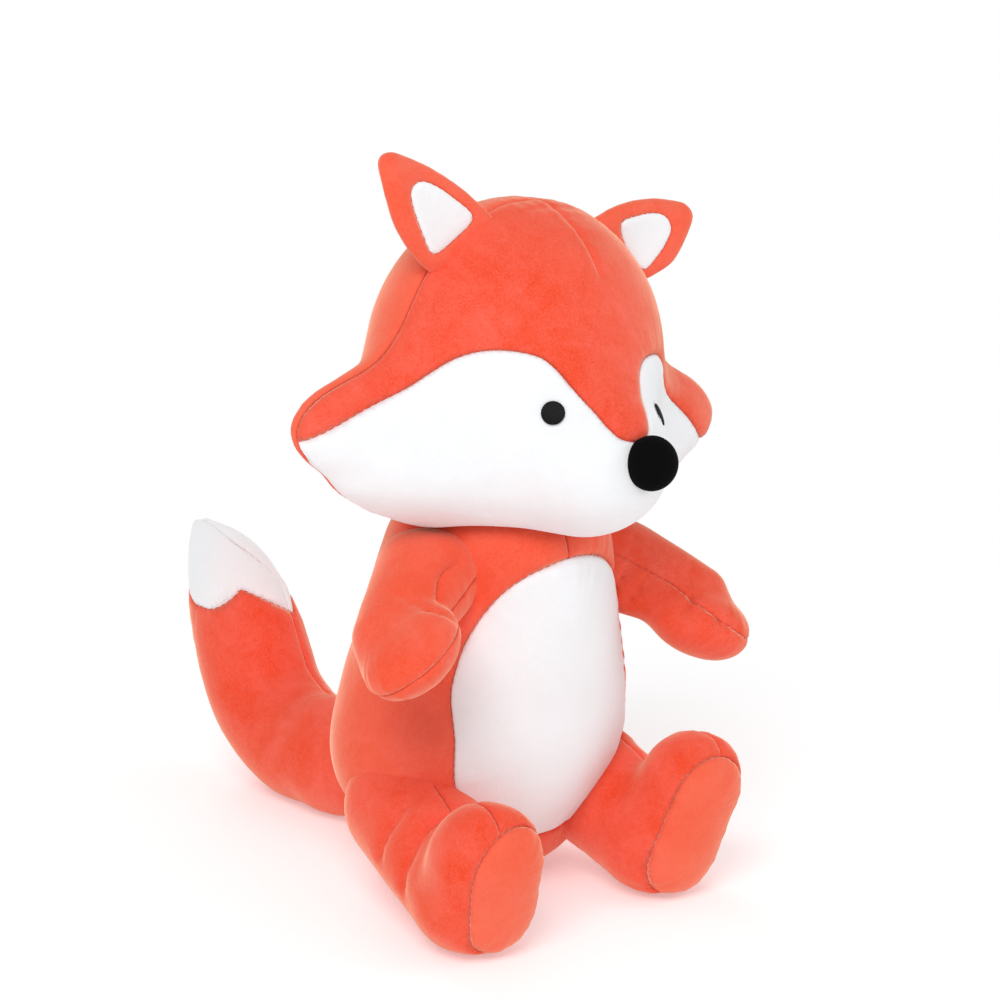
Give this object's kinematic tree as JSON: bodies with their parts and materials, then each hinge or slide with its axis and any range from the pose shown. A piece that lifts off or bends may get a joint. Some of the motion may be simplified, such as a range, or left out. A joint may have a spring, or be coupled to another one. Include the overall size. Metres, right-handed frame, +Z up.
{
  "type": "plush fox toy",
  "caption": "Sitting stuffed plush fox with a wide pointed face patch, upright ears, stub arms and legs and an upturned tail.",
  "frame": {"origin": "on the ground, in the middle of the flat seat under the body", "axes": "+Z up, the face looks along -Y and the tail runs along +Y, the toy's own left is +X"},
  "size_m": [0.2102, 0.3049, 0.2973],
  "materials": {
    "orange_plush": "short-pile plush",
    "white_plush": "short-pile plush",
    "black_plush": "short-pile plush",
    "black_thread": "satin embroidery thread",
    "filling": "polyester fibre"
  },
  "bodies": {
    "torso": {"body_stuffing": "filling", "body_left_side": "orange_plush", "body_right_side": "orange_plush", "belly_patch": "white_plush", "seat_panel": "orange_plush"},
    "neck": {"neck_stuffing": "filling"},
    "head": {"head_stuffing": "filling", "head_back_left": "orange_plush", "head_back_right": "orange_plush", "forehead_panel": "orange_plush", "face_patch": "white_plush", "nose": "black_plush", "eye_left": "black_thread", "eye_right": "black_thread", "ear_left_back": "orange_plush", "ear_left_front": "orange_plush", "ear_left_inner": "white_plush", "ear_left_stuffing": "filling", "ear_right_back": "orange_plush", "ear_right_front": "orange_plush", "ear_right_inner": "white_plush", "ear_right_stuffing": "filling"},
    "tail": {"tail_stuffing": "filling", "tail_left": "orange_plush", "tail_right": "orange_plush", "tail_tip_left": "white_plush", "tail_tip_right": "white_plush"},
    "arm_left": {"arm_left_stuffing": "filling", "arm_left_outer": "orange_plush", "arm_left_inner": "orange_plush"},
    "leg_left": {"leg_left_stuffing": "filling", "leg_left_outer": "orange_plush", "leg_left_inner": "orange_plush", "leg_left_sole": "orange_plush"},
    "arm_right": {"arm_right_stuffing": "filling", "arm_right_outer": "orange_plush", "arm_right_inner": "orange_plush"},
    "leg_right": {"leg_right_stuffing": "filling", "leg_right_outer": "orange_plush", "leg_right_inner": "orange_plush", "leg_right_sole": "orange_plush"}
  },
  "joints": [
    {"name": "head_turn", "type": "hinge", "parent": "torso", "child": "neck", "pos_m": [0, -0.011, 0.093], "axis": [0, 0, 1], "range_deg": [-10, 10], "stiffness_Nm_per_rad": 0.8},
    {"name": "head_nod", "type": "hinge", "parent": "neck", "child": "head", "pos_m": [0, -0.011, 0.093], "axis": [1, 0, 0], "range_deg": [-3, 3], "stiffness_Nm_per_rad": 6},
    {"name": "arm_left_raise", "type": "hinge", "parent": "torso", "child": "arm_left", "pos_m": [0.043, -0.0207, 0.1305], "axis": [-0.6756, -0.7373, 0], "range_deg": [-3, 10], "stiffness_Nm_per_rad": 0.6},
    {"name": "arm_right_raise", "type": "hinge", "parent": "torso", "child": "arm_right", "pos_m": [-0.043, -0.0207, 0.1355], "axis": [-0.5299, 0.848, 0], "range_deg": [-3, 10], "stiffness_Nm_per_rad": 0.6},
    {"name": "leg_left_spread", "type": "hinge", "parent": "torso", "child": "leg_left", "pos_m": [0.042, -0.006, 0.039], "axis": [0, 0, 1], "range_deg": [0, 15], "stiffness_Nm_per_rad": 0.5},
    {"name": "leg_right_spread", "type": "hinge", "parent": "torso", "child": "leg_right", "pos_m": [-0.042, -0.006, 0.039], "axis": [0, 0, -1], "range_deg": [0, 15], "stiffness_Nm_per_rad": 0.5},
    {"name": "tail_wag", "type": "hinge", "parent": "torso", "child": "tail", "pos_m": [0, 0.052, 0.029], "axis": [0, 0, 1], "range_deg": [-15, 15], "stiffness_Nm_per_rad": 0.5}
  ]
}
